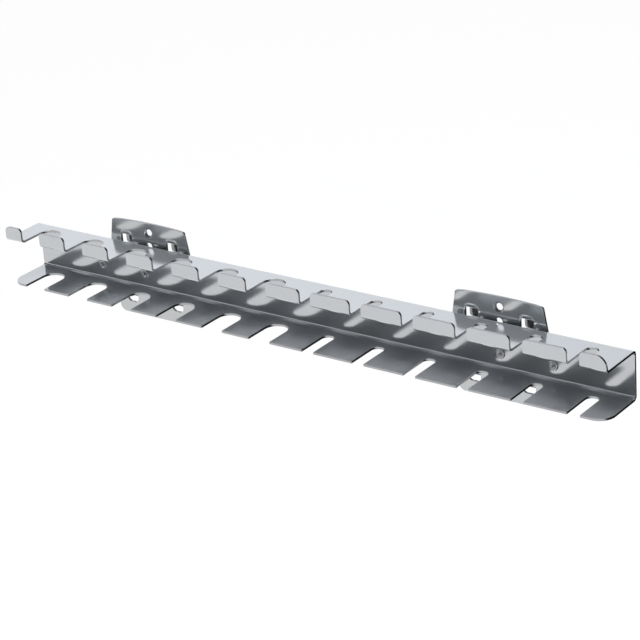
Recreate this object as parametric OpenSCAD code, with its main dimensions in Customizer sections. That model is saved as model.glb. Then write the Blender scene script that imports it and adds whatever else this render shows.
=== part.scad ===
// Screwdriver rack that hangs on a panel with square holes.
// A folded rail carries a row of slots in two shelves, and two pressed hook plates behind it
// hang in the panel or are screwed to a wall.
// Frame: X along the rail, Y towards the panel, Z up. The origin is the centre of the four
// screw holes on the plane of the panel's face, so y = 0 is where the plates' backs rest.

/* [Rail sheet] */
// Thickness of the rail's sheet
rail_sheet = 1.5; // [1.2:0.1:2]
// Inside radius of the rail's bends
rail_bend = 1.5; // [0.5:0.25:2]
// Height of the rail, from the underside of the bottom shelf to the top of the top shelf
rail_height = 31.5; // [28:0.25:40]
// Height of the top shelf's upper face above the middle of the hook plates
shelf_level = 20.75; // [20:0.25:22]
// Depth of the rail, from the front of the lips to the back of the web
rail_depth = 33.5; // [30:0.5:40]
// How far the bottom shelf reaches in front of the lips
foot_reach = 1; // [0:0.5:6]
// Corner radius at both ends of the bottom shelf's front edge
foot_corner = 10; // [4:0.5:12]

/* [Slots] */
// Distance between the centre lines of neighbouring slots
slot_pitch = 37; // [34:0.5:44]
// Number of wide slots, on the left
wide_slots = 6; // [4:1:8]
// Number of narrow slots, on the right
narrow_slots = 6; // [4:1:8]
// Width of a wide slot
wide_slot = 16; // [13:0.5:18]
// Width of a narrow slot
narrow_slot = 8.5; // [7:0.5:12]
// Distance from the outermost slot's centre line to the end of the rail
end_margin = 21.5; // [20:0.5:26]
// Sheet left between a slot's round end and the web's back, in the top shelf
top_land = 8; // [5:0.5:10]
// Sheet left between a slot's round end and the web's back, in the bottom shelf
bottom_land = 9.5; // [5:0.5:11]

/* [Lips] */
// Height of the lips above the top shelf's upper face
lip_rise = 8.7; // [6:0.1:12]
// Radius of the lips' upper corners beside the slots
lip_corner = 2.75; // [1:0.25:4]
// Radius of the outer upper corner of the lip at the narrow end
end_lip_corner = 7; // [3:0.5:8]
// Radius of the outer upper corner of the lip at the wide end
start_lip_corner = 3.5; // [1.5:0.5:6]

/* [Hook plates] */
// Hole pitch of the panel that the hooks fit
panel_pitch = 38; // [36:0.5:40]
// Number of panel pitches between the middles of the two plates
plate_steps = 7; // [6:1:7]
// Thickness of the plates' sheet
plate_sheet = 1.5; // [1.2:0.1:1.8]
// Inside radius of the plates' bends
plate_bend = 1; // [0.5:0.25:1.25]
// Reach of a plate above the rivets, over the crown of its upper edge
plate_rise = 34.25; // [33.5:0.25:37]
// Reach of a plate below the rivets
plate_drop = 32.25; // [32:0.25:36]
// Width of a plate at its middle
plate_width = 71.5; // [66:0.5:76]
// Width of a plate at its top and bottom edges
plate_end_width = 60; // [58:0.5:62]
// Rise of the slight crown of the upper edge
edge_crown = 1; // [0.5:0.25:2]
// Radius of a plate's upper corners
upper_corner = 1; // [0.5:0.5:5]
// Radius of a plate's lower corners
lower_corner = 4; // [2:0.5:6]
// How far the middle field is pressed forward to meet the rail
field_step = 2.75; // [2.5:0.25:5]
// Height of the flat middle field and of the ear
field_height = 11; // [10:0.5:12]
// Reach of the ear that carries the outer rivet, from the middle of the plate
ear_reach = 45; // [43:0.5:50]
// Corner radius of the ear
ear_corner = 4; // [2:0.5:6]

/* [Hooks] */
// Height of the middle between the upper and lower windows, seen from the rivets
hook_middle = -0.75; // [-1.5:0.25:0.5]
// Width of a hook window
window_width = 9; // [8.75:0.25:9.5]
// Height of a hook window
window_height = 9; // [8.5:0.25:9.75]
// Corner radius of a window's outline
window_corner = 3; // [1:0.25:4]
// Inside radius of the hooks' bends
hook_bend = 0.5; // [0.25:0.25:1]
// Width of a hook tongue
tongue_width = 8.6; // [7.5:0.1:8.7]
// Gap between the plate's back and a hook tongue, which takes the panel's sheet
panel_gap = 3; // [2:0.25:4]
// Height from the tongue's tip to the lower edge of its window
tip_rise = 2; // [1:0.25:3]
// Radius of the tongue's lower corners
tip_corner = 2; // [1:0.25:3]

/* [Screw holes] */
// Height between the upper and lower screw holes
screw_spacing = 55; // [53:0.5:56]
// Diameter of the screw holes
screw_hole = 4.4; // [3.4:0.1:5]
// Diameter of the countersink of a screw hole at the plate's front
seat_diameter = 6.8; // [6:0.1:7.5]
// Depth of the countersink
seat_depth = 0.9; // [0.3:0.1:1]
// Height between the upper and lower tooling holes
tooling_spacing = 37; // [35:0.5:38]
// Diameter of the tooling holes
tooling_hole = 4.5; // [3:0.1:4.8]

/* [Rivets] */
// Distance of the inner rivet from the middle of its plate, away from the rail's middle
inner_rivet = 2.5; // [1:0.5:4]
// Distance between the inner and the outer rivet
rivet_spacing = 36; // [34:0.5:36]
// Diameter of a rivet's shank
shank_diameter = 3.2; // [3:0.1:3.4]
// Diameter of a rivet's head
head_diameter = 6.4; // [6:0.1:7]
// Height of a rivet's domed head
head_height = 0.8; // [0.8:0.1:1.2]
// Height of the straight rim of a rivet's head
head_rim = 0.4; // [0.2:0.1:0.5]
// Diameter of the mandrel's bore through a rivet
mandrel_bore = 1.9; // [1.7:0.1:2.1]
// Diameter of a set rivet's bulged tail
tail_diameter = 4.6; // [4.2:0.1:5]
// Length of a set rivet's bulged tail
tail_length = 1.8; // [1.4:0.1:1.9]
// Rounding of the end of the tail
tail_round = 0.8; // [0.5:0.1:0.9]
// Diameter of the mandrel's ball head
mandrel_head = 2.8; // [2.5:0.1:3]
// Length of the mandrel's head behind the tail
mandrel_head_length = 0.6; // [0.4:0.1:0.7]
// Depth of the mandrel's broken end below the top of the head
mandrel_recess = 0.6; // [0.3:0.1:0.8]

/* [Hidden] */
$fn = 48;

// Clearances and overruns
rivet_clearance = 0.1;
mandrel_clearance = 0.1;
cut_over = 1;

// Levels of the rail
web_back = -field_step - plate_sheet;
web_front = web_back - rail_sheet;
lip_front = web_back - rail_depth;
foot_front = lip_front - foot_reach;
shelf_top = shelf_level;
shelf_under = shelf_top - rail_sheet;
foot_under = shelf_top - rail_height;
foot_top = foot_under + rail_sheet;
lip_top = shelf_top + lip_rise;
bend_outer = rail_bend + rail_sheet;

// Slots, counted from the wide end on the left
slot_count = wide_slots + narrow_slots;
rail_length = (slot_count - 1) * slot_pitch + 2 * end_margin;
rail_end = rail_length / 2;
first_slot = end_margin - rail_end;
top_slot_end = web_back - top_land;
bottom_slot_end = web_back - bottom_land;

// Places of the plates and rivets
plate_place = plate_steps * panel_pitch / 2;
rivet_offsets = [inner_rivet, inner_rivet + rivet_spacing];
sheet_hole = shank_diameter + 2 * rivet_clearance;
grip = rail_sheet + plate_sheet;

// The step between the flange against the panel and the field against the rail is a slope of 45
// degrees between two bends, whose centres lie this far apart in height
step_slope = 45;
plate_bend_outer = plate_bend + plate_sheet;
step_rise = field_step + (plate_bend + plate_bend_outer) * (1 / sin(step_slope) - 1);
field_half = field_height / 2;
flange_start = field_half + step_rise;
hook_bend_outer = hook_bend + plate_sheet;
flange_reach = max(plate_rise, plate_drop);
edge_end = plate_rise - edge_crown;

// Hooks
hook_place = panel_pitch / 2;
first_low = hook_middle - hook_place - window_height / 2;
window_lows = [first_low, first_low + panel_pitch];

function slot_x(i) = first_slot + i * slot_pitch;
function slot_w(i) = i < wide_slots ? wide_slot : narrow_slot;

// Points of an arc about c, from angle a to angle b
arc_steps = 8;
function arc(c, r, a, b) = [
  for (i = [0:arc_steps])
    let (t = a + (b - a) * i / arc_steps)
    [c[0] + r * cos(t), c[1] + r * sin(t)]
];
function flip_second(points) = [
  for (i = [len(points) - 1:-1:0])
    [points[i][0], -points[i][1]]
];

// A quarter of a bent sheet, in the quadrant of the two signs
module quarter_bend(inner, sheet, sign_x, sign_y) {
  outer = inner + sheet;
  intersection() {
    difference() {
      circle(r = outer);
      circle(r = inner);
    }
    translate([sign_x < 0 ? -outer : 0, sign_y < 0 ? -outer : 0])
      square(outer);
  }
}

// What a round corner takes away: a square less its quarter circle, towards the two signs
module corner_waste(r, sign_x, sign_y) {
  difference() {
    translate([sign_x < 0 ? -r - cut_over : 0, sign_y < 0 ? -r - cut_over : 0])
      square(r + cut_over);
    circle(r = r);
  }
}

// The rail's section, drawn as depth against height: web, two shelves and the lip
module rail_section() {
  web_bend_y = web_back - bend_outer;
  lip_bend_y = lip_front + bend_outer;
  translate([web_front, foot_under + bend_outer])
    square([rail_sheet, rail_height - 2 * bend_outer]);
  translate([web_bend_y, shelf_top - bend_outer])
    quarter_bend(rail_bend, rail_sheet, 1, 1);
  translate([web_bend_y, foot_under + bend_outer])
    quarter_bend(rail_bend, rail_sheet, 1, -1);
  translate([foot_front, foot_under])
    square([web_bend_y - foot_front, rail_sheet]);
  translate([lip_bend_y, shelf_under])
    square([web_bend_y - lip_bend_y, rail_sheet]);
  translate([lip_bend_y, shelf_under + bend_outer])
    quarter_bend(rail_bend, rail_sheet, -1, -1);
  translate([lip_front, shelf_under + bend_outer])
    square([rail_sheet, lip_top - shelf_under - bend_outer]);
}

// A slot with a round inner end, open at the front, over a span of heights
module slot_cut(x, width, inner_end, low, high) {
  round_y = inner_end - width / 2;
  translate([x - width / 2, foot_front - cut_over, low])
    cube([width, round_y - foot_front + cut_over, high - low]);
  translate([x, round_y, low])
    cylinder(d = width, h = high - low);
}

// Rounds one upper corner of a lip: x is the lip's side, side points out of the lip
module lip_corner_cut(x, side, r) {
  translate([x - side * r, lip_front + bend_outer, lip_top - r])
    rotate([90, 0, 0])
      linear_extrude(bend_outer + cut_over)
        corner_waste(r, side, 1);
}

// Rounds one end of the bottom shelf's front edge
module foot_corner_cut(side) {
  translate([side * (rail_end - foot_corner), foot_front + foot_corner, foot_under - cut_over])
    linear_extrude(rail_sheet + 2 * cut_over)
      corner_waste(foot_corner, side, -1);
}

module rail() {
  color("#b9bec6")
    difference() {
      rotate([90, 0, 90])
        translate([0, 0, -rail_end])
          linear_extrude(rail_length)
            rail_section();
      for (i = [0:slot_count - 1]) {
        slot_cut(slot_x(i), slot_w(i), top_slot_end, shelf_under - cut_over, lip_top + cut_over);
        slot_cut(slot_x(i), slot_w(i), bottom_slot_end, foot_under - cut_over, foot_top + cut_over);
        for (side = [-1, 1])
          lip_corner_cut(slot_x(i) - side * slot_w(i) / 2, side, lip_corner);
      }
      lip_corner_cut(-rail_end, -1, start_lip_corner);
      lip_corner_cut(rail_end, 1, end_lip_corner);
      for (side = [-1, 1])
        foot_corner_cut(side);
      for (side = [-1, 1], offset_x = rivet_offsets)
        translate([side * (plate_place + offset_x), web_back + cut_over, 0])
          rotate([90, 0, 0])
            cylinder(d = sheet_hole, h = rail_sheet + 2 * cut_over);
    }
}

// Upper half of the plate's section, as depth against height, from the field up to the edge.
// The first bend turns the sheet back about a centre behind it, the second turns it up again
// about a centre in front of it.
field_bend_y = -field_step + plate_bend;
flange_bend_y = -plate_sheet - plate_bend;
front_half = concat(
  arc([field_bend_y, field_half], plate_bend_outer, 180, 180 - step_slope),
  arc([flange_bend_y, flange_start], plate_bend, -step_slope, 0),
  [[-plate_sheet, flange_reach + cut_over]]
);
back_half = concat(
  arc([field_bend_y, field_half], plate_bend, 180, 180 - step_slope),
  arc([flange_bend_y, flange_start], plate_bend_outer, -step_slope, 0),
  [[0, flange_reach + cut_over]]
);
function flip_x(v) = [-v[0], v[1]];
function reversed(points) = [for (i = [len(points) - 1:-1:0]) points[i]];

module plate_section() {
  polygon(concat(
    flip_second(front_half),
    front_half,
    reversed(back_half),
    reversed(flip_second(back_half))
  ));
}

// Rounds a corner between the edge from a to b and the edge from b to c
function unit(v) = v / norm(v);
function round_corner(a, b, c, r) =
  let (
    u = unit(a - b),
    v = unit(c - b),
    half = acos(u * v) / 2,
    centre = b + unit(u + v) * r / sin(half),
    p = b + u * r / tan(half) - centre,
    q = b + v * r / tan(half) - centre,
    from = atan2(p[1], p[0]),
    sweep = atan2(p[0] * q[1] - p[1] * q[0], p * q)
  )
  arc(centre, r, from, from + sweep);

// The plate's outline seen from the front: widest at the middle, with a crowned upper edge
module plate_outline() {
  w = plate_width / 2;
  e = plate_end_width / 2;
  crown_r = (e * e + edge_crown * edge_crown) / (2 * edge_crown);
  along_crown = [-crown_r, e];
  upper_reach = asin((e - 2 * upper_corner) / crown_r);
  polygon(concat(
    [[w, 0]],
    round_corner([w, 0], [e, edge_end], [e, edge_end] + along_crown, upper_corner),
    arc([0, plate_rise - crown_r], crown_r, 90 - upper_reach, 90 + upper_reach),
    round_corner([-e, edge_end] + flip_x(along_crown), [-e, edge_end], [-w, 0], upper_corner),
    [[-w, 0]],
    round_corner([-w, 0], [-e, -plate_drop], [e, -plate_drop], lower_corner),
    round_corner([-e, -plate_drop], [e, -plate_drop], [w, 0], lower_corner)
  ));
}

// The ear beside the field, on the side of the outer rivet
module ear_outline() {
  translate([0, -field_half])
    square([ear_reach - ear_corner, field_height]);
  translate([0, ear_corner - field_half])
    square([ear_reach, field_height - 2 * ear_corner]);
  for (side = [-1, 1])
    translate([ear_reach - ear_corner, side * (field_half - ear_corner)])
      circle(r = ear_corner);
}

// A hook window from its lower edge up to where the tongue starts to bend back
module window_outline(low) {
  w = window_width / 2;
  high = low + window_height + hook_bend_outer;
  translate([-w, low + window_corner])
    square([window_width, high - low - 2 * window_corner]);
  translate([window_corner - w, low])
    square([window_width - 2 * window_corner, high - low]);
  for (side = [-1, 1], z = [low + window_corner, high - window_corner])
    translate([side * (w - window_corner), z])
      circle(r = window_corner);
}

// The section of a hook tongue, as depth against height: it bends back from the plate at the top
// of the window, runs level through the panel and drops behind the panel's sheet
module tongue_section(root_z, tip_z) {
  root_start = hook_bend_outer - plate_sheet;
  root_end = panel_gap - hook_bend;
  translate([root_start, root_z + hook_bend_outer])
    quarter_bend(hook_bend, plate_sheet, -1, -1);
  translate([root_start, root_z])
    square([root_end - root_start, plate_sheet]);
  translate([root_end, root_z - hook_bend])
    quarter_bend(hook_bend, plate_sheet, 1, 1);
  translate([panel_gap, tip_z])
    square([plate_sheet, root_z - hook_bend - tip_z]);
}

// The tongue of the window at height low, in the column at x
module tongue(x, low) {
  tip_z = low + tip_rise;
  corner_x = tongue_width / 2 - tip_corner;
  back_y = panel_gap + plate_sheet + cut_over;
  difference() {
    translate([x - tongue_width / 2, 0, 0])
      rotate([90, 0, 90])
        linear_extrude(tongue_width)
          tongue_section(low + window_height, tip_z);
    for (side = [-1, 1])
      translate([x + side * corner_x, back_y, tip_z + tip_corner])
        rotate([90, 0, 0])
          linear_extrude(plate_sheet + 2 * cut_over)
            corner_waste(tip_corner, side, -1);
  }
}

// A hook plate whose ear points to positive X, about its own middle
module hook_plate() {
  hole_reach = field_step + plate_sheet + 2 * cut_over;
  difference() {
    union() {
      intersection() {
        translate([-plate_width / 2 - cut_over, 0, 0])
          rotate([90, 0, 90])
            linear_extrude(plate_width + 2 * cut_over)
              plate_section();
        translate([0, cut_over, 0])
          rotate([90, 0, 0])
            linear_extrude(hole_reach)
              plate_outline();
      }
      translate([0, -field_step, 0])
        rotate([90, 0, 0])
          linear_extrude(plate_sheet)
            ear_outline();
    }
    for (column = [-1, 1], low = window_lows)
      translate([column * hook_place, cut_over, 0])
        rotate([90, 0, 0])
          linear_extrude(plate_sheet + 2 * cut_over)
            window_outline(low);
    for (row = [-1, 1]) {
      translate([0, cut_over, row * screw_spacing / 2])
        rotate([90, 0, 0])
          cylinder(d = screw_hole, h = plate_sheet + 2 * cut_over);
      translate([0, seat_depth - plate_sheet, row * screw_spacing / 2])
        rotate([90, 0, 0])
          cylinder(d1 = screw_hole, d2 = seat_diameter, h = seat_depth);
      translate([0, -plate_sheet, row * screw_spacing / 2])
        rotate([90, 0, 0])
          cylinder(d = seat_diameter, h = cut_over);
      translate([0, cut_over, row * tooling_spacing / 2])
        rotate([90, 0, 0])
          cylinder(d = tooling_hole, h = plate_sheet + 2 * cut_over);
    }
    for (offset_x = rivet_offsets)
      translate([offset_x, cut_over, 0])
        rotate([90, 0, 0])
          cylinder(d = sheet_hole, h = hole_reach);
  }
  for (column = [-1, 1], low = window_lows)
    tongue(column * hook_place, low);
}

module hook_plate_left() {
  color("#8f979c")
    translate([-plate_place, 0, 0])
      mirror([1, 0, 0])
        hook_plate();
}

module hook_plate_right() {
  color("#8f979c")
    translate([plate_place, 0, 0])
      hook_plate();
}

// A set blind rivet along its own axis: height 0 is the face under the head
module blind_rivet() {
  shank_r = shank_diameter / 2;
  head_r = head_diameter / 2;
  tail_r = tail_diameter / 2;
  dome = head_height - head_rim;
  dome_r = (head_r * head_r + dome * dome) / (2 * dome);
  bore_r = mandrel_bore / 2;
  rotate_extrude()
    difference() {
      union() {
        square([head_r, head_rim]);
        intersection() {
          translate([0, head_height - dome_r])
            circle(r = dome_r, $fn = 360);
          translate([0, head_rim])
            square([head_r, dome]);
        }
        translate([0, -grip])
          square([shank_r, grip]);
        translate([0, -grip - tail_length + tail_round])
          square([tail_r, tail_length - tail_round]);
        translate([0, -grip - tail_length])
          square([tail_r - tail_round, tail_length]);
        translate([tail_r - tail_round, -grip - tail_length + tail_round])
          circle(r = tail_round);
      }
      translate([-cut_over, -grip - tail_length - cut_over])
        square([bore_r + cut_over, grip + tail_length + head_height + 2 * cut_over]);
    }
}

// The mandrel left in a set rivet: a stem in the bore, broken below the head's top, and its own
// head seated on the end of the tail
module mandrel_stub() {
  stem_r = mandrel_bore / 2 - mandrel_clearance;
  ball_r = mandrel_head / 2;
  seat = -grip - tail_length;
  rotate_extrude() {
    translate([0, seat])
      square([stem_r, head_height - mandrel_recess - seat]);
    intersection() {
      translate([0, seat - mandrel_head_length + ball_r])
        circle(r = ball_r);
      translate([0, seat - mandrel_head_length])
        square([ball_r, mandrel_head_length]);
    }
  }
}

// Puts a piece that stands on its own axis into the web, on the left (-1) or right (1) plate
module in_web(side, place) {
  translate([side * (plate_place + rivet_offsets[place]), web_front, 0])
    rotate([90, 0, 0])
      children();
}

module rivet(side, place) {
  color("#c3c6c8")
    in_web(side, place)
      blind_rivet();
}

module mandrel(side, place) {
  color("#7e8184")
    in_web(side, place)
      mandrel_stub();
}

rail();
hook_plate_left();
hook_plate_right();
rivet(-1, 1);  // rivet_left_outer
rivet(-1, 0);  // rivet_left_inner
rivet(1, 0);  // rivet_right_inner
rivet(1, 1);  // rivet_right_outer
mandrel(-1, 1);  // mandrel_left_outer
mandrel(-1, 0);  // mandrel_left_inner
mandrel(1, 0);  // mandrel_right_inner
mandrel(1, 1);  // mandrel_right_outer
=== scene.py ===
import math

import bmesh
import bpy
import numpy as np
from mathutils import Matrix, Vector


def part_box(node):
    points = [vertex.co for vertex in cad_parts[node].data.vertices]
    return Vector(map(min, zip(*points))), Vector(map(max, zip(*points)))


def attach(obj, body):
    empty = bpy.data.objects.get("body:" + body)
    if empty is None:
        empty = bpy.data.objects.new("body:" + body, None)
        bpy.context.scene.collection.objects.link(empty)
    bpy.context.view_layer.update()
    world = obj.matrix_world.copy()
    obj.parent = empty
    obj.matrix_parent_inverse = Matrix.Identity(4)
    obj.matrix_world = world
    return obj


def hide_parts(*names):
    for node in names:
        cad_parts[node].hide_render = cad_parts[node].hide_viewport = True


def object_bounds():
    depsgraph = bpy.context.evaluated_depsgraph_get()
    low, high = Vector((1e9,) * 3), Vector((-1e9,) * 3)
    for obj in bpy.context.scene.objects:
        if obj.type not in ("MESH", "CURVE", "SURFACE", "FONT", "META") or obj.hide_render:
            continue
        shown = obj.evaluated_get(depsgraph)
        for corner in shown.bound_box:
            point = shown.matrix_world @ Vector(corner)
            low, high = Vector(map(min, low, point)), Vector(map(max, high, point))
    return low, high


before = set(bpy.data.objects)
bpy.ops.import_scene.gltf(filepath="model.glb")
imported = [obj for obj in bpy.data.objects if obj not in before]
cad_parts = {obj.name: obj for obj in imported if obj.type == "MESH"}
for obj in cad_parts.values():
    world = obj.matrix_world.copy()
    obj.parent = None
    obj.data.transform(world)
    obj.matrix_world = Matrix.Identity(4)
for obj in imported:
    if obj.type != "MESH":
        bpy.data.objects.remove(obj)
cad_low, cad_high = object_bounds()

# Rail
# One strip of zinc-plated steel sheet. It is punched flat, with twelve slots along each long edge,
# and folded into a bottom shelf, a web, a top shelf and the upturned lips in front of it.
MM = 0.001
SHEET = 1.5
MIDDLE_BEND = 2.25
BEND_STEPS = 9
PITCH = 37.0
WIDE_HALF = 8.0
NARROW_HALF = 4.25
WIDE_COUNT = 6
SLOT_COUNT = 12
BOTTOM_FLAT = 31.5
WEB_FLAT = 25.5
TOP_FLAT = 27.5
LIP_FLAT = 7.2
TOP_SLOT_LAND = 5.0
BOTTOM_SLOT_LAND = 6.5
LIP_CORNER = 2.75
START_LIP_CORNER = 3.5
END_LIP_CORNER = 7.0
FOOT_CORNER = 10.0
EDGE_ROUND = 0.09
SLOT_COLUMNS = 29
CLOUD_SCALE = 38.0
GRAIN_SCALE = 5200.0
GRAIN_STRETCH = 0.08
RIPPLE_SCALE = 55.0
RIPPLE_DEPTH = 0.00012
RAIL_LIGHT = (0.71, 0.725, 0.745)
RAIL_SHADE = (0.66, 0.675, 0.695)
# The cut edges' tones are darker bare steel and partly painted shade, so that the edges that face the
# dark side of the room come out dark.
CUT_PAINTED_SHADE_LIGHT = (0.46, 0.46, 0.47)
CUT_PAINTED_SHADE_DARK = (0.38, 0.38, 0.40)
RAIL_GRAIN = 0.000004
FINE_GRAIN = 0.000005
COARSE_GRAIN = 0.00001
SHARP_ANGLE = 40

rail_low, rail_high = (np.array(corner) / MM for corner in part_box("rail"))
FIRST_SLOT = -(SLOT_COUNT - 1) * PITCH / 2
QUARTER = MIDDLE_BEND * math.pi / 2
WEB_START = BOTTOM_FLAT + QUARTER
TOP_START = WEB_START + WEB_FLAT + QUARTER
LIP_START = TOP_FLAT + QUARTER
rail_steps = [
    (BOTTOM_FLAT, 90, MIDDLE_BEND),
    (WEB_FLAT, 90, MIDDLE_BEND),
    (TOP_FLAT, -90, MIDDLE_BEND),
    (LIP_FLAT, 0, 0),
]


def fold_line(along, steps, start, heading):
    """Places and left-hand normals on a folded sheet's middle line, as depth and height.

    Each step is a straight length and then a turn, left for plus, on a radius. A point that lies
    past the start of a step is carried on along it, so the last step that it reaches decides.
    """
    place = np.zeros(along.shape + (2,))
    normal = np.zeros(along.shape + (2,))
    point = np.array(start, float)
    angle = math.radians(heading)
    done = 0.0
    for straight, turn, radius in steps:
        ahead = np.array([math.cos(angle), math.sin(angle)])
        left = np.array([-ahead[1], ahead[0]])
        past = along - done
        on = past >= 0
        place[on] = point + past[on, None] * ahead
        normal[on] = left
        point = point + straight * ahead
        done += straight
        if turn == 0:
            continue
        side = math.copysign(1, turn)
        centre = point + side * radius * left
        past = along - done
        on = past > 0
        swing = angle + side * past[on] / radius
        swung_left = np.stack([-np.sin(swing), np.cos(swing)], axis=-1)
        place[on] = centre - side * radius * swung_left
        normal[on] = swung_left
        angle += math.radians(turn)
        point = centre - side * radius * np.array([-math.sin(angle), math.cos(angle)])
        done += radius * abs(math.radians(turn))
    return place, normal


def grid_faces(rows, columns):
    """Four-cornered faces of a grid whose points are numbered row by row."""
    number = np.arange(rows * columns).reshape(rows, columns)
    corners = [number[:-1, :-1], number[:-1, 1:], number[1:, 1:], number[1:, :-1]]
    return np.stack([corner.ravel() for corner in corners], axis=1)


def joined(patches):
    """One set of points and faces from flat patches whose borders share their points.

    Points that fall on each other are merged, and every face is turned to run anticlockwise.
    """
    points, faces, count = [], [], 0
    for patch in patches:
        rows, columns = patch.shape[:2]
        points.append(patch.reshape(-1, 2))
        faces.append(grid_faces(rows, columns) + count)
        count += rows * columns
    points = np.concatenate(points)
    faces = np.concatenate(faces)
    keys, first, merged = np.unique(
        np.round(points, 3), axis=0, return_index=True, return_inverse=True
    )
    points = points[first]
    faces = merged.reshape(-1)[faces]
    corner = points[faces]
    following = np.roll(corner, -1, axis=1)
    area = (corner[..., 0] * following[..., 1] - corner[..., 1] * following[..., 0]).sum(axis=1)
    faces[area < 0] = faces[area < 0, ::-1]
    return points, faces[abs(area) > 1e-6]


def round_corner(points, corner, inward, reach):
    """Rolls the square at a corner into a quarter disc, and leaves all other points alone.

    A point's larger distance from the square's inner corner becomes its radius, and the ratio of
    the two distances its angle, so that the square's two outer sides land on the arc.
    """
    inward = np.array(inward, float)
    reach = np.array(reach, float)
    depth = (points - corner) * inward / reach
    inside = ((depth > -0.001) & (depth < 1)).all(axis=1)
    across, up = (1 - depth[inside]).T
    radius = np.maximum(across, up)
    ratio = np.minimum(across, up) / np.maximum(radius, 1e-9)
    swing = np.where(across >= up, ratio, 2 - ratio) * math.pi / 4
    rolled = radius[:, None] * np.stack([np.cos(swing), np.sin(swing)], axis=1)
    points[inside] = corner + (1 - rolled) * reach * inward


def sheet_piece(name, points, faces, front, back):
    """Closed skin of a sheet from the places of its flat points on both faces.

    The back's faces are the front's, turned over. Each edge that only one face uses is a cut
    edge, and a wall of its own closes it from the front to the back.
    """
    count = len(points)
    start, end = faces, np.roll(faces, -1, axis=1)
    forward = (start * count + end).ravel()
    backward = (end * count + start).ravel()
    free = ~np.isin(forward, backward)
    start, end = start.ravel()[free], end.ravel()[free]
    walls = np.stack([end, start, start + count, end + count], axis=1)
    mesh = bpy.data.meshes.new(name)
    every_face = np.concatenate([faces, faces[:, ::-1] + count, walls])
    mesh.from_pydata((np.concatenate([front, back]) * MM).tolist(), [], every_face.tolist())
    mesh.polygons.foreach_set(
        "material_index", np.repeat([0, 1], [2 * len(faces), len(walls)]).astype(np.int32)
    )
    mesh.shade_smooth()
    mesh.update()
    piece = bpy.data.objects.new(name, mesh)
    bpy.context.scene.collection.objects.link(piece)
    return piece


def ease_edges(piece, width):
    """Rounds the cut edges and keeps the flat faces' shading flat."""
    bevel = piece.modifiers.new("cut edges", "BEVEL")
    bevel.width = width * MM
    bevel.segments = 2
    bevel.limit_method = "ANGLE"
    bevel.angle_limit = math.radians(SHARP_ANGLE)
    bevel.use_clamp_overlap = False
    weighted = piece.modifiers.new("flat faces", "WEIGHTED_NORMAL")
    weighted.weight = 60


def slot_patch(half, land, shoulder, left, right, ahead_levels, inner_corner, outer_corner):
    """Sheet round one slot, as distance from its centre line and distance ahead of the web's bend.

    Rays run from the slot's outline to the border of its field: along each leg straight across,
    and round the slot's end outwards from the centre of the end's arc.
    """
    centre = land + half
    behind = shoulder * np.linspace(1, 0, 5)[:-1]
    across = np.linspace(-left, right, SLOT_COLUMNS)
    back = np.zeros_like(across)
    border_x = np.concatenate([np.full(4, -left), across, np.full(4, right)])
    border_ahead = np.concatenate([behind, back, behind[::-1]])
    ray = np.stack([border_x, border_ahead * centre / shoulder - centre], axis=1)
    ray /= np.linalg.norm(ray, axis=1)[:, None]
    inner = np.array([0, centre]) + half * ray
    border = np.stack([border_x, border_ahead], axis=1)
    flat_part = np.clip((TOP_FLAT - ahead_levels) / (TOP_FLAT - shoulder), 0, 1)
    leg_ahead = ahead_levels - (shoulder - centre) * flat_part
    legs = []
    for side, reach in ((-1, left), (1, right)):
        edge = np.stack([np.full_like(ahead_levels, side * half), leg_ahead], axis=1)
        outside = np.stack([np.full_like(ahead_levels, side * reach), ahead_levels], axis=1)
        legs.append((edge, outside))
    inner = np.concatenate([legs[0][0][::-1], inner, legs[1][0]])
    border = np.concatenate([legs[0][1][::-1], border, legs[1][1]])
    width = max(left, right) - half
    near = np.linspace(0, inner_corner, 6)
    far = np.linspace(width - outer_corner, width, 7) if outer_corner else np.array([width])
    share = np.concatenate([near, [(near[-1] + far[0]) / 2], far]) / width
    return inner[None] + share[:, None, None] * (border - inner)[None]


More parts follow.
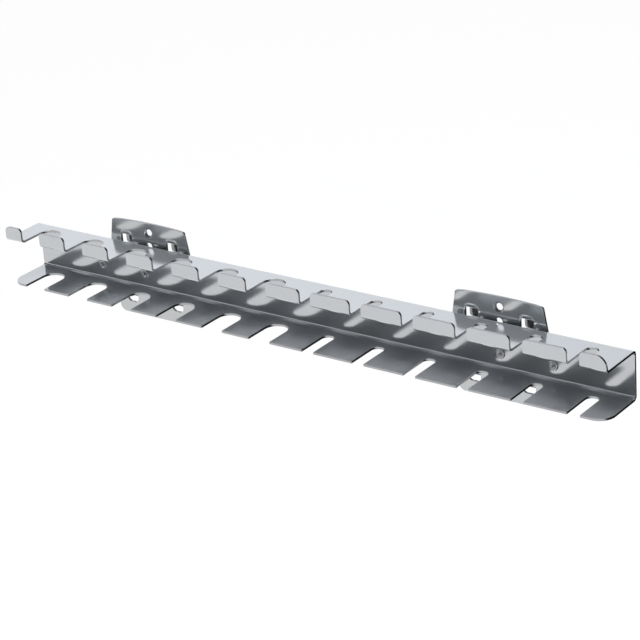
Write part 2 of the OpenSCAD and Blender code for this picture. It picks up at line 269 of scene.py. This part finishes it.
def rail_patches():
    """Flat patches of the rail: a field round each slot in both shelves, and the web between."""
    between_corners = (END_LIP_CORNER + START_LIP_CORNER) / 2
    below_end = np.concatenate([
        [LIP_FLAT, END_LIP_CORNER, between_corners, START_LIP_CORNER],
        LIP_CORNER * np.linspace(1, 0, 6),
    ])
    lip_levels = LIP_START + LIP_FLAT - below_end
    bend_levels = TOP_FLAT + QUARTER * np.linspace(0, 1, BEND_STEPS)[:-1]
    top_shoulder = TOP_SLOT_LAND + WIDE_HALF
    bottom_shoulder = BOTTOM_SLOT_LAND + WIDE_HALF
    top_levels = np.concatenate(
        [np.linspace(top_shoulder, TOP_FLAT, 4)[1:-1], bend_levels, lip_levels]
    )
    bottom_levels = np.linspace(bottom_shoulder, BOTTOM_FLAT, 8)[1:]
    web_levels = np.concatenate([
        BOTTOM_FLAT + QUARTER * np.linspace(0, 1, BEND_STEPS),
        WEB_START + WEB_FLAT * np.array([0.25, 0.5, 0.75]),
        WEB_START + WEB_FLAT + QUARTER * np.linspace(0, 1, BEND_STEPS),
    ])
    patches = []
    for number in range(SLOT_COUNT):
        half = WIDE_HALF if number < WIDE_COUNT else NARROW_HALF
        slot_x = FIRST_SLOT + number * PITCH
        left = slot_x - rail_low[0] if number == 0 else PITCH / 2
        right = rail_high[0] - slot_x if number == SLOT_COUNT - 1 else PITCH / 2
        lip_end = {0: START_LIP_CORNER, SLOT_COUNT - 1: END_LIP_CORNER}.get(number, 0)
        foot_end = FOOT_CORNER if number in (0, SLOT_COUNT - 1) else 0
        top = slot_patch(half, TOP_SLOT_LAND, top_shoulder, left, right, top_levels, LIP_CORNER, lip_end)
        bottom = slot_patch(
            half, BOTTOM_SLOT_LAND, bottom_shoulder, left, right, bottom_levels, LIP_CORNER, foot_end
        )
        top = np.stack([slot_x + top[..., 0], TOP_START + top[..., 1]], axis=-1)
        bottom = np.stack([slot_x + bottom[..., 0], BOTTOM_FLAT - bottom[..., 1]], axis=-1)
        columns = slot_x + np.linspace(-left, right, SLOT_COLUMNS)
        web = np.stack(np.meshgrid(columns, web_levels), axis=-1)
        patches += [top, bottom, web]
    return patches


def fold_rail(points):
    """Places of the flat points on the rail's inner and outer faces."""
    start = (rail_low[1], rail_low[2] + SHEET / 2)
    place, normal = fold_line(points[:, 1], rail_steps, start, 0)
    faces = []
    for side in (0.5, -0.5):
        depth_height = place + side * SHEET * normal
        faces.append(np.column_stack([points[:, 0], depth_height]))
    return faces


points, faces = joined(rail_patches())
lip_end = TOP_START + LIP_START + LIP_FLAT
for number in range(SLOT_COUNT):
    half = WIDE_HALF if number < WIDE_COUNT else NARROW_HALF
    for side in (-1, 1):
        corner = np.array([FIRST_SLOT + number * PITCH + side * half, lip_end])
        round_corner(points, corner, (side, -1), (LIP_CORNER, LIP_CORNER))
for end, inward, lip_radius in (
    (rail_low[0], 1, START_LIP_CORNER),
    (rail_high[0], -1, END_LIP_CORNER),
):
    round_corner(points, np.array([end, lip_end]), (inward, -1), (lip_radius, lip_radius))
    round_corner(points, np.array([end, 0.0]), (inward, 1), (FOOT_CORNER, FOOT_CORNER))
rail = sheet_piece("rail_sheet", points, faces, *fold_rail(points))
ease_edges(rail, EDGE_ROUND)


def shader_node(tree, kind, links=(), **values):
    """A node with the given values, linked from the given outputs to its named inputs."""
    node = tree.nodes.new(kind)
    for key, value in values.items():
        setattr(node, key, value)
    for name, source in links:
        if hasattr(source, "links"):
            tree.links.new(source, node.inputs[name])
        else:
            node.inputs[name].default_value = source
    return node


def plated_steel(name, colour, shade, rough, grain_depth, metal):
    """Bright zinc plating on cold-rolled sheet, part mirror and part haze.

    Broad clouds shift the tint and the gloss a little, a fine grain drawn out along the rolling
    direction breaks up the reflections, and a long shallow ripple bends them.
    """
    material = bpy.data.materials.new(name)
    material.use_nodes = True
    tree = material.node_tree
    shader = tree.nodes["Principled BSDF"]
    place = shader_node(tree, "ShaderNodeTexCoord").outputs["Object"]
    clouds = shader_node(
        tree, "ShaderNodeTexNoise", [("Vector", place), ("Scale", CLOUD_SCALE), ("Detail", 4.0)]
    )
    tint = shader_node(
        tree, "ShaderNodeMix", [("Factor", clouds.outputs["Fac"])], data_type="RGBA"
    )
    tint.inputs["A"].default_value = (*shade, 1)
    tint.inputs["B"].default_value = (*colour, 1)
    tree.links.new(tint.outputs["Result"], shader.inputs["Base Color"])
    stretch = shader_node(
        tree, "ShaderNodeMapping", [("Vector", place), ("Scale", (GRAIN_STRETCH, 1.0, 1.0))]
    )
    grain = shader_node(
        tree,
        "ShaderNodeTexNoise",
        [("Vector", stretch.outputs["Vector"]), ("Scale", GRAIN_SCALE), ("Detail", 3.0)],
    )
    gloss = shader_node(
        tree,
        "ShaderNodeMapRange",
        [("Value", clouds.outputs["Fac"]), ("To Min", rough * 0.8), ("To Max", rough * 1.25)],
    )
    tree.links.new(gloss.outputs["Result"], shader.inputs["Roughness"])
    ripple = shader_node(
        tree, "ShaderNodeTexNoise", [("Vector", place), ("Scale", RIPPLE_SCALE), ("Detail", 1.0)]
    )
    wave = shader_node(
        tree,
        "ShaderNodeBump",
        [("Height", ripple.outputs["Fac"]), ("Distance", RIPPLE_DEPTH), ("Strength", 0.5)],
    )
    bump = shader_node(
        tree,
        "ShaderNodeBump",
        [
            ("Height", grain.outputs["Fac"]),
            ("Distance", grain_depth),
            ("Strength", 0.5),
            ("Normal", wave.outputs["Normal"]),
        ],
    )
    tree.links.new(bump.outputs["Normal"], shader.inputs["Normal"])
    shader.inputs["Metallic"].default_value = metal
    return material


rail_plating = plated_steel(
    "rail_plating", RAIL_LIGHT, RAIL_SHADE, rough=0.13, grain_depth=RAIL_GRAIN, metal=0.7
)
# Cut edge walls: darker bare steel, partly painted shade.
cut_edge_metal_painted_shade = plated_steel(
    "cut_edge_bare_steel_painted_shade", CUT_PAINTED_SHADE_LIGHT, CUT_PAINTED_SHADE_DARK, rough=0.18, grain_depth=COARSE_GRAIN, metal=1.0
)
rail.data.materials.append(rail_plating)
rail.data.materials.append(cut_edge_metal_painted_shade)
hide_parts("rail")
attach(rail, "root")

# Hook plates
# Two pressed plates of the same plated sheet, left and right hand. Each has a middle field that
# steps forward to the web, an ear for the outer rivet, two countersunk screw holes, two tooling
# holes, and four windows whose tongues are bent back as hooks.
PLATE_BEND = 1.75
PLATE_PLACE = 133.0
PLATE_HALF_WIDTH = 35.75
PLATE_END_HALF = 30.0
PLATE_RISE = 34.25
PLATE_DROP = 32.25
CROWN = 1.0
FIELD_HALF = 5.5
FIELD_STEP = 2.75
EAR_REACH = 45.0
EAR_CORNER = 4.0
UPPER_CORNER = 1.0
LOWER_CORNER = 4.0
HOOK_X = 19.0
WINDOW_HALF = 4.5
WINDOW_CORNER = 3.0
UPPER_WINDOW = (13.75, 24.75)
LOWER_WINDOW = (-24.25, -13.25)
SCREW_Z = 27.5
SCREW_HALF = 2.2
SINK_HALF = 3.4
SINK_DEPTH = 0.9
TOOLING_Z = 18.5
TOOLING_HALF = 2.25
HOOK_BEND = 1.25
TONGUE_HALF = 4.3
TONGUE_GAP = 3.0
TONGUE_CORNER = 2.0
TONGUE_DROP = 6.5
TONGUE_CLEAR = 0.02
RIM_TOP = 0.5
RIM_RISE = 0.22
RING_HALF = 7.5
RING_START = 11.3
RING_MIDDLE = 22.5
LOWER_RING_END = 31.4
UPPER_RING_END = 31.9
RING_ROOM = 0.85
WINDOW_RINGS = (0, 0.2, 0.4, 0.6, 0.85, 1.1, 1.4, 1.7)
TOOLING_RINGS = (0, 0.3, 0.8)
SCREW_RINGS = (0, 0.6, 1.2, 1.4, 1.6)
FLANK_START = 24.0
CROWN_START = 26.0
EAR_ROW = 1.5
# The plates' two tones are the rail plating's tones painted darker: painted shade, for the darker look
# the same sheet has on the plates.
PLATE_PAINTED_SHADE_LIGHT = (0.62, 0.63, 0.64)
PLATE_PAINTED_SHADE_DARK = (0.56, 0.57, 0.58)

slope_drop = 2 * PLATE_BEND * (1 - math.cos(math.pi / 4))
slope_flat = (FIELD_STEP - slope_drop) / math.sin(math.pi / 4)
eighth = PLATE_BEND * math.pi / 4
flange_start = FIELD_HALF + slope_flat * math.cos(math.pi / 4) + 2 * PLATE_BEND * math.sin(math.pi / 4)
flange_along = FIELD_HALF + slope_flat + 2 * eighth
along_extra = flange_along - flange_start
plate_steps = [
    (PLATE_DROP - flange_start, 45, PLATE_BEND),
    (slope_flat, -45, PLATE_BEND),
    (2 * FIELD_HALF, -45, PLATE_BEND),
    (slope_flat, 45, PLATE_BEND),
    (PLATE_RISE - flange_start, 0, 0),
]


def hole_ring(columns, rows, centre, half_size, corner, near):
    """Sheet round one hole, from its outline out to the rectangle of columns and rows round it.

    Rays run from the hole's centre to the grid points on the rectangle. The hole's edge along a
    ray is a straight side of the outline, or the arc of its corner where the ray meets that.
    """
    border = np.concatenate([
        np.column_stack([columns, np.full_like(columns, rows[0])]),
        np.column_stack([np.full_like(rows, columns[-1]), rows])[1:],
        np.column_stack([columns[::-1], np.full_like(columns, rows[-1])])[1:],
        np.column_stack([np.full_like(rows, columns[0]), rows[::-1]])[1:],
    ])
    ray = border - centre
    reach = np.linalg.norm(ray, axis=1)
    ray /= reach[:, None]
    size = np.maximum(abs(ray), 1e-9)
    half_size = np.array(half_size, float)
    arc_centre = half_size - corner
    to_side = (half_size / size).min(axis=1)
    along = (size * arc_centre).sum(axis=1)
    to_arc = along + np.sqrt(np.maximum(along**2 - (arc_centre**2).sum() + corner**2, 0))
    in_corner = (size * to_side[:, None] >= arc_centre - 1e-9).all(axis=1)
    edge = np.where(in_corner, to_arc, to_side)
    room = RING_ROOM * (reach - edge) / near[-1]
    steps = edge + np.minimum(room, 1) * np.array(near)[:, None]
    distance = np.concatenate([steps, reach[None]])
    return centre + distance[..., None] * ray[None]


def plate_patches():
    """Flat patches of a plate: plain bands, and a ring round each hole of its two flanges."""
    outer = np.linspace(HOOK_X + RING_HALF, PLATE_HALF_WIDTH, 5)
    window = np.linspace(HOOK_X - RING_HALF, HOOK_X + RING_HALF, 15)
    middle = np.linspace(RING_HALF - HOOK_X, HOOK_X - RING_HALF, 15)
    every = np.unique(np.round(np.concatenate([-outer, -window, middle, window, outer]), 4))
    near_field = np.linspace(RING_START, RING_MIDDLE, 10) + along_extra
    bend = eighth * np.linspace(0, 1, 6)
    field = np.concatenate([np.linspace(0, EAR_ROW, 3), np.linspace(EAR_ROW, FIELD_HALF, 5)[1:]])
    half = np.concatenate([field, FIELD_HALF + bend[1:], flange_along - bend[::-1], near_field[:1]])
    band = np.concatenate([-half[:0:-1], half])
    patches = [np.stack(np.meshgrid(every, band), axis=-1)]
    for up, strip_start, plate_end, (window_low, window_high) in (
        (-1, LOWER_RING_END, PLATE_DROP, LOWER_WINDOW),
        (1, UPPER_RING_END, PLATE_RISE, UPPER_WINDOW),
    ):
        near_edge = np.linspace(RING_MIDDLE, strip_start, 8) + along_extra
        rows = np.concatenate([near_field, near_edge[1:]])
        strip = np.linspace(strip_start, plate_end, 5) + along_extra
        patches.append(np.stack(np.meshgrid(every, up * strip), axis=-1))
        window_size = (WINDOW_HALF, (window_high - window_low) / 2)
        window_z = (window_low + window_high) / 2 + up * along_extra
        for side in (-1, 1):
            patches.append(np.stack(np.meshgrid(side * outer, up * rows), axis=-1))
            patches.append(hole_ring(
                side * window, up * rows, (side * HOOK_X, window_z),
                window_size, WINDOW_CORNER, WINDOW_RINGS,
            ))
        patches.append(hole_ring(
            middle, up * near_field, (0, up * (TOOLING_Z + along_extra)),
            (TOOLING_HALF, TOOLING_HALF), TOOLING_HALF, TOOLING_RINGS,
        ))
        patches.append(hole_ring(
            middle, up * near_edge, (0, up * (SCREW_Z + along_extra)),
            (SCREW_HALF, SCREW_HALF), SCREW_HALF, SCREW_RINGS,
        ))
    ear = np.concatenate([
        np.linspace(PLATE_HALF_WIDTH, EAR_REACH - EAR_CORNER, 5),
        np.linspace(EAR_REACH - EAR_CORNER, EAR_REACH, 5)[1:],
    ])
    ear_rows = np.concatenate([-field[:0:-1], field])
    patches.append(np.stack(np.meshgrid(ear, ear_rows), axis=-1))
    return patches


def plate_faces(points):
    """Places of a plate's flat points on its front and back faces, about the plate's own middle.

    The sides lean in from the middle to the ends, and the upper end is slightly crowned. The front
    dips into a cone at each screw hole and swells a little round each window, as a punched rim does.
    """
    across = points[:, 0].copy()
    along = points[:, 1].copy()
    crown_radius = (PLATE_END_HALF**2 + CROWN**2) / (2 * CROWN)
    crown_rise = PLATE_RISE - CROWN_START
    end_share = np.clip((along - along_extra - CROWN_START) / crown_rise, 0, 1)
    along -= end_share * across**2 / (2 * crown_radius)
    start = (-SHEET / 2, -PLATE_DROP)
    place, normal = fold_line(along + PLATE_DROP + along_extra, plate_steps, start, 90)
    height = place[:, 1]
    end_reach = np.where(height > 0, PLATE_RISE - CROWN, PLATE_DROP)
    width = PLATE_HALF_WIDTH - (PLATE_HALF_WIDTH - PLATE_END_HALF) * abs(height) / end_reach
    share = (abs(across) - FLANK_START) / (PLATE_HALF_WIDTH - FLANK_START)
    ear_share = (across - PLATE_HALF_WIDTH) / (EAR_REACH - PLATE_HALF_WIDTH)
    leaned = np.sign(across) * (FLANK_START + share * (width - FLANK_START))
    leaned = np.where(across > PLATE_HALF_WIDTH, width + ear_share * (EAR_REACH - width), leaned)
    across = np.where(share > 0, leaned, across)
    front = place + SHEET / 2 * normal
    back = place - SHEET / 2 * normal
    from_screw = np.hypot(across, abs(height) - SCREW_Z)
    inside = np.clip((SINK_HALF - from_screw) / (SINK_HALF - SCREW_HALF), 0, 1)
    front[:, 0] += SINK_DEPTH * inside
    for window_low, window_high in (UPPER_WINDOW, LOWER_WINDOW):
        beside = abs(abs(across) - HOOK_X) - WINDOW_HALF + WINDOW_CORNER
        above = abs(height - (window_low + window_high) / 2)
        above = above - (window_high - window_low) / 2 + WINDOW_CORNER
        from_rim = np.hypot(np.maximum(beside, 0), np.maximum(above, 0)) - WINDOW_CORNER
        near_top = np.maximum(1 - (from_rim - RIM_TOP)**2, 0)
        front[:, 0] -= RIM_RISE * near_top**2
    return np.column_stack([across, front]), np.column_stack([across, back])


def tongue_faces(side, window_high):
    """Points, faces and places of one tongue: a strip bent back, level, and down again."""
    level = TONGUE_GAP + SHEET - 2 * HOOK_BEND
    steps = [
        (TONGUE_CLEAR, 90, HOOK_BEND),
        (level, -90, HOOK_BEND),
        (TONGUE_DROP, 0, 0),
    ]
    quarter = HOOK_BEND * math.pi / 2
    level_end = TONGUE_CLEAR + quarter + level
    rows = np.concatenate([
        [0],
        TONGUE_CLEAR + quarter * np.linspace(0, 1, 7),
        level_end + quarter * np.linspace(0, 1, 7),
        level_end + quarter + TONGUE_DROP - TONGUE_CORNER * np.linspace(1, 0, 5),
    ])
    inner = TONGUE_HALF - TONGUE_CORNER
    columns = np.concatenate([
        np.linspace(-TONGUE_HALF, -inner, 5), [0], np.linspace(inner, TONGUE_HALF, 5),
    ])
    points, faces = joined([np.stack(np.meshgrid(columns, rows), axis=-1)])
    for way in (-1, 1):
        corner = np.array([way * TONGUE_HALF, rows[-1]])
        round_corner(points, corner, (-way, -1), (TONGUE_CORNER, TONGUE_CORNER))
    start = (-SHEET / 2, window_high + TONGUE_CLEAR)
    place, normal = fold_line(points[:, 1], steps, start, -90)
    across = side * HOOK_X + points[:, 0]
    front = np.column_stack([across, place - SHEET / 2 * normal])
    back = np.column_stack([across, place + SHEET / 2 * normal])
    return points, faces[:, ::-1], front, back


def hook_plate(name, hand):
    """One plate with its tongues, as one skin each, put at the plate's place on the rail."""
    points, faces = joined(plate_patches())
    stretch = (PLATE_HALF_WIDTH - FLANK_START) / (PLATE_END_HALF - FLANK_START)
    for up, plate_end, radius in ((1, PLATE_RISE, UPPER_CORNER), (-1, PLATE_DROP, LOWER_CORNER)):
        for side in (-1, 1):
            corner = np.array([side * PLATE_HALF_WIDTH, up * (plate_end + along_extra)])
            round_corner(points, corner, (-side, -up), (radius * stretch, radius))
    for up in (-1, 1):
        corner = np.array([EAR_REACH, up * FIELD_HALF])
        round_corner(points, corner, (-1, -up), (EAR_CORNER, EAR_CORNER))
    front, back = plate_faces(points)
    for side in (-1, 1):
        for window_high in (UPPER_WINDOW[1], LOWER_WINDOW[1]):
            tongue = tongue_faces(side, window_high)
            faces = np.concatenate([faces, tongue[1] + len(points)])
            points = np.concatenate([points, tongue[0]])
            front = np.concatenate([front, tongue[2]])
            back = np.concatenate([back, tongue[3]])
    if hand < 0:
        front[:, 0] *= -1
        back[:, 0] *= -1
        faces = faces[:, ::-1]
    front[:, 0] += hand * PLATE_PLACE
    back[:, 0] += hand * PLATE_PLACE
    piece = sheet_piece(name, points, faces, front, back)
    ease_edges(piece, EDGE_ROUND)
    return piece


# The plates' plating holds painted shade in its darker tones, and it mirrors more than the rail's
# plating.
plate_plating_painted_shade = plated_steel(
    "plate_plating_painted_shade", PLATE_PAINTED_SHADE_LIGHT, PLATE_PAINTED_SHADE_DARK, rough=0.15, grain_depth=FINE_GRAIN, metal=0.84
)
for name, node, hand in (
    ("hook_plate_left_sheet", "hook_plate_left", -1),
    ("hook_plate_right_sheet", "hook_plate_right", 1),
):
    plate = hook_plate(name, hand)
    plate.data.materials.append(plate_plating_painted_shade)
    plate.data.materials.append(cut_edge_metal_painted_shade)
    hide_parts(node)
    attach(plate, "root")

# Blind rivets and their mandrels
# Four blind rivets hold the rail's web to the plates. Each has a low round-rimmed head on the web,
# a shank, a bulged tail behind the plate, and in its bore the broken stem of its steel mandrel.
WEB_FRONT = -5.75
INNER_RIVET = 2.5
OUTER_RIVET = 38.5
GRIP = 3.0
SHANK_HALF = 1.6
HEAD_HALF = 3.2
HEAD_HEIGHT = 0.8
HEAD_ROUND = 0.55
DISH_HALF = 1.5
DISH_DEPTH = 0.35
DISH_SLOPE = 0.25
DISH_ROUND = 0.15
DISH_DIP = 0.05
BORE_HALF = 0.95
TAIL_HALF = 2.3
TAIL_LENGTH = 1.8
TAIL_ROUND = 0.8
MANDREL_HALF = 0.85
MANDREL_BALL = 1.4
MANDREL_HEAD = 0.6
MANDREL_RECESS = 0.6
BREAK_HALF = 0.4
BREAK_DIP = 0.05
BREAK_DEPTH = 0.12
RIVET_EDGE_ROUND = 0.07
TURNS = 48
RIVET_LIGHT = (0.64, 0.65, 0.66)
RIVET_SHADE = (0.56, 0.57, 0.59)
MANDREL_LIGHT = (0.32, 0.32, 0.33)
MANDREL_SHADE = (0.22, 0.22, 0.24)


def arc_points(centre, radius, start, end, count):
    """Points of an arc in a profile, as radius and height."""
    swing = np.radians(np.linspace(start, end, count))
    return np.column_stack([centre[0] + radius * np.cos(swing), centre[1] + radius * np.sin(swing)])


def turned_piece(name, profile, place_x, closed):
    """A profile of radius and height turned about an axis that points out of the web's front.

    A closed profile makes a ring; an open one starts and ends on the axis, where its first and
    last circles shrink to a point.
    """
    swing = np.arange(TURNS) * 2 * math.pi / TURNS
    radius, height = profile[:, 0], profile[:, 1]
    x = place_x + radius[:, None] * np.cos(swing)
    y = np.repeat(WEB_FRONT - height[:, None], TURNS, axis=1)
    z = radius[:, None] * np.sin(swing)
    count = len(profile)
    number = np.arange(count * TURNS).reshape(count, TURNS)
    rows = np.concatenate([number, number[:1]]) if closed else number
    wrapped = np.concatenate([rows, rows[:, :1]], axis=1)
    corners = [wrapped[:-1, :-1], wrapped[:-1, 1:], wrapped[1:, 1:], wrapped[1:, :-1]]
    faces = np.stack([corner.ravel() for corner in corners], axis=1)
    mesh = bpy.data.meshes.new(name)
    points = np.stack([x, y, z], axis=-1).reshape(-1, 3) * MM
    mesh.from_pydata(points.tolist(), [], faces.tolist())
    solid = bmesh.new()
    solid.from_mesh(mesh)
    bmesh.ops.remove_doubles(solid, verts=solid.verts, dist=1e-6)
    bmesh.ops.recalc_face_normals(solid, faces=solid.faces)
    solid.to_mesh(mesh)
    solid.free()
    mesh.shade_smooth()
    piece = bpy.data.objects.new(name, mesh)
    bpy.context.scene.collection.objects.link(piece)
    ease_edges(piece, RIVET_EDGE_ROUND)
    return piece


def rivet_profile():
    """Bore, dished middle, flat ring, round rim, shank and tail of a set rivet, a closed line."""
    tail_end = -GRIP - TAIL_LENGTH
    dish_floor = HEAD_HEIGHT - DISH_DEPTH
    return np.concatenate([
        [[BORE_HALF, dish_floor], [DISH_HALF - DISH_SLOPE, dish_floor]],
        [[DISH_HALF, HEAD_HEIGHT - DISH_DIP], [DISH_HALF + DISH_ROUND, HEAD_HEIGHT]],
        arc_points((HEAD_HALF - HEAD_ROUND, HEAD_HEIGHT - HEAD_ROUND), HEAD_ROUND, 90, 0, 7),
        [[HEAD_HALF, 0], [SHANK_HALF, 0], [SHANK_HALF, -GRIP], [TAIL_HALF, -GRIP]],
        arc_points((TAIL_HALF - TAIL_ROUND, tail_end + TAIL_ROUND), TAIL_ROUND, 0, -90, 7),
        [[BORE_HALF, tail_end]],
    ])


def mandrel_profile():
    """Broken end, stem and seated ball head of a mandrel, from the axis round to the axis."""
    stem_top = HEAD_HEIGHT - MANDREL_RECESS
    seat = -GRIP - TAIL_LENGTH
    ball_centre = seat - MANDREL_HEAD + MANDREL_BALL
    seat_swing = math.degrees(math.asin((seat - ball_centre) / MANDREL_BALL))
    return np.concatenate([
        [[0, stem_top - BREAK_DEPTH], [BREAK_HALF, stem_top - BREAK_DIP]],
        [[MANDREL_HALF, stem_top]],
        [[MANDREL_HALF, seat]],
        arc_points((0, ball_centre), MANDREL_BALL, seat_swing, -90, 8),
    ])


rivet_metal = plated_steel(
    "rivet_metal", RIVET_LIGHT, RIVET_SHADE, rough=0.2, grain_depth=FINE_GRAIN, metal=0.8
)
mandrel_metal = plated_steel(
    "mandrel_metal", MANDREL_LIGHT, MANDREL_SHADE, rough=0.4, grain_depth=COARSE_GRAIN, metal=1.0
)
for side_name, side in (("left", -1), ("right", 1)):
    for place_name, offset_x in (("outer", OUTER_RIVET), ("inner", INNER_RIVET)):
        place_x = side * (PLATE_PLACE + offset_x)
        rivet = turned_piece(f"rivet_{side_name}_{place_name}_body", rivet_profile(), place_x, True)
        rivet.data.materials.append(rivet_metal)
        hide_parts(f"rivet_{side_name}_{place_name}")
        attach(rivet, "root")
        stem = turned_piece(
            f"mandrel_{side_name}_{place_name}_stem", mandrel_profile(), place_x, False
        )
        stem.data.materials.append(mandrel_metal)
        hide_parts(f"mandrel_{side_name}_{place_name}")
        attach(stem, "root")

# Studio
# The rack hangs clear over a pale floor, as held up to be looked at, with a wide soft light
# overhead. The room is bright behind the rack on the left and low down in front, dim above that,
# and a dark card lies on the floor to the right.
FLOOR_DROP = 0.32
STUDIO_SIZE = 12.0
BRIGHT_BACK = (0.94, 0.965, 1.0)
BRIGHT_LOW = (0.95, 0.96, 0.97)
DIM_FRONT = (0.085, 0.095, 0.10)
DARK_SIDE = (0.03, 0.032, 0.032)
LOW_TO_DIM = (0.08, 0.32)
FRONT_TO_BACK = (-0.25, 0.35)
LEFT_TO_RIGHT = (-0.6, 0.1)
FLOOR_COLOUR = (0.9, 0.9, 0.9)
FLOOR_LIFT = 0.9
WHITE_STRENGTH = 1.06
CARD_COLOUR = (0.02, 0.02, 0.02)
CARD_LOW = (0.2, -0.3)
CARD_HIGH = (2.4, 2.2)
CARD_ABOVE_FLOOR = 0.01
LAMP_PLACE = (0.1, 0.1, 1.6)
LAMP_SIZE = 1.2
LAMP_POWER = 20
LAMP_COLOUR = (0.93, 0.97, 1.0)


def stage_plane(name, low, high, level, material):
    """A level rectangle of the stage, from its low to its high corner."""
    mesh = bpy.data.meshes.new(name)
    corners = [(low[0], low[1]), (high[0], low[1]), (high[0], high[1]), (low[0], high[1])]
    mesh.from_pydata([(x, y, level) for x, y in corners], [], [(0, 1, 2, 3)])
    plane = bpy.data.objects.new(name, mesh)
    bpy.context.scene.collection.objects.link(plane)
    mesh.materials.append(material)
    return plane


def matt_stage(name, colour):
    """A matt surface of one colour."""
    material = bpy.data.materials.new(name)
    material.use_nodes = True
    matt = material.node_tree.nodes["Principled BSDF"]
    matt.inputs["Base Color"].default_value = (*colour, 1)
    matt.inputs["Roughness"].default_value = 0.9
    matt.inputs["Specular IOR Level"].default_value = 0.0
    return material


def lift_to_white(material, share):
    """Mixes white into a matt surface for the eye and for what metal and glass show of it."""
    tree = material.node_tree
    white = shader_node(
        tree, "ShaderNodeEmission", [("Color", (1.0, 1.0, 1.0, 1)), ("Strength", WHITE_STRENGTH)]
    )
    path = shader_node(tree, "ShaderNodeLightPath")
    seen = path.outputs["Is Camera Ray"]
    for other in ("Is Glossy Ray", "Is Transmission Ray"):
        either = shader_node(tree, "ShaderNodeMath", operation="MAXIMUM")
        tree.links.new(seen, either.inputs[0])
        tree.links.new(path.outputs[other], either.inputs[1])
        seen = either.outputs[0]
    part = shader_node(tree, "ShaderNodeMath", operation="MULTIPLY")
    tree.links.new(seen, part.inputs[0])
    part.inputs[1].default_value = share
    mixed = shader_node(tree, "ShaderNodeMixShader")
    tree.links.new(part.outputs[0], mixed.inputs[0])
    tree.links.new(tree.nodes["Principled BSDF"].outputs["BSDF"], mixed.inputs[1])
    tree.links.new(white.outputs["Emission"], mixed.inputs[2])
    tree.links.new(mixed.outputs["Shader"], tree.nodes["Material Output"].inputs["Surface"])


half = STUDIO_SIZE / 2
floor_level = cad_low.z - FLOOR_DROP
floor_white = matt_stage("floor_white", FLOOR_COLOUR)
lift_to_white(floor_white, FLOOR_LIFT)
stage_plane("floor", (-half, -half), (half, half), floor_level, floor_white)
card_black = matt_stage("card_black", CARD_COLOUR)
card_level = floor_level + CARD_ABOVE_FLOOR
card = stage_plane("dark_card", CARD_LOW, CARD_HIGH, card_level, card_black)
card.visible_camera = False

world = bpy.data.worlds.new("studio")
bpy.context.scene.world = world
world.use_nodes = True
tree = world.node_tree
direction = shader_node(tree, "ShaderNodeTexCoord").outputs["Generated"]
split = shader_node(tree, "ShaderNodeSeparateXYZ", [("Vector", direction)])


def blend_across(value, limits, before, after):
    """A colour that goes smoothly from one to the other while the value passes a range."""
    share = shader_node(
        tree,
        "ShaderNodeMapRange",
        [("Value", value), ("From Min", limits[0]), ("From Max", limits[1])],
        interpolation_type="SMOOTHSTEP",
    )
    blend = shader_node(
        tree, "ShaderNodeMix", [("Factor", share.outputs["Result"])], data_type="RGBA"
    )
    for name, colour in (("A", before), ("B", after)):
        if hasattr(colour, "links"):
            tree.links.new(colour, blend.inputs[name])
        else:
            blend.inputs[name].default_value = (*colour, 1)
    return blend.outputs["Result"]


front = blend_across(split.outputs["Z"], LOW_TO_DIM, BRIGHT_LOW, DIM_FRONT)
bright = blend_across(split.outputs["Y"], FRONT_TO_BACK, front, BRIGHT_BACK)
room = blend_across(split.outputs["X"], LEFT_TO_RIGHT, bright, DARK_SIDE)
tree.links.new(room, tree.nodes["Background"].inputs["Color"])


def soft_light(name, place, size, power, colour, target):
    """A square area light that faces a point."""
    lamp = bpy.data.lights.new(name, "AREA")
    lamp.size = size
    lamp.energy = power
    lamp.color = colour
    light = bpy.data.objects.new(name, lamp)
    bpy.context.scene.collection.objects.link(light)
    light.location = place
    facing = np.array(target) - np.array(place)
    level = math.hypot(facing[0], facing[1])
    light.rotation_euler = (
        math.atan2(level, -facing[2]), 0, math.atan2(facing[1], facing[0]) - math.pi / 2
    )
    return light


soft_light("overhead", LAMP_PLACE, LAMP_SIZE, LAMP_POWER, LAMP_COLOUR, (0, 0, 0))

# Camera
# A long lens from the front right and above, held with a slight tilt, as the photograph shows.
LENS_PIXELS = 2304.0
IMAGE_PIXELS = 640.0
OPTICAL_CENTRE = (351.3, 328.2)
CAMERA_PLACE = (0.8005, -1.0382, 0.5648)
CAMERA_TURN = (66.088, 3.734, 35.144)
SENSOR_WIDTH = 36
FARTHEST_SEEN = 50

view = bpy.data.cameras.new("photo view")
view.sensor_width = SENSOR_WIDTH
view.lens = LENS_PIXELS / IMAGE_PIXELS * view.sensor_width
view.shift_x = (IMAGE_PIXELS / 2 - OPTICAL_CENTRE[0]) / IMAGE_PIXELS
view.shift_y = (OPTICAL_CENTRE[1] - IMAGE_PIXELS / 2) / IMAGE_PIXELS
view.clip_end = FARTHEST_SEEN
camera = bpy.data.objects.new("photo view", view)
camera.location = CAMERA_PLACE
camera.rotation_euler = [math.radians(angle) for angle in CAMERA_TURN]
bpy.context.scene.collection.objects.link(camera)
bpy.context.scene.camera = camera
bpy.context.scene.view_settings.view_transform = "Standard"
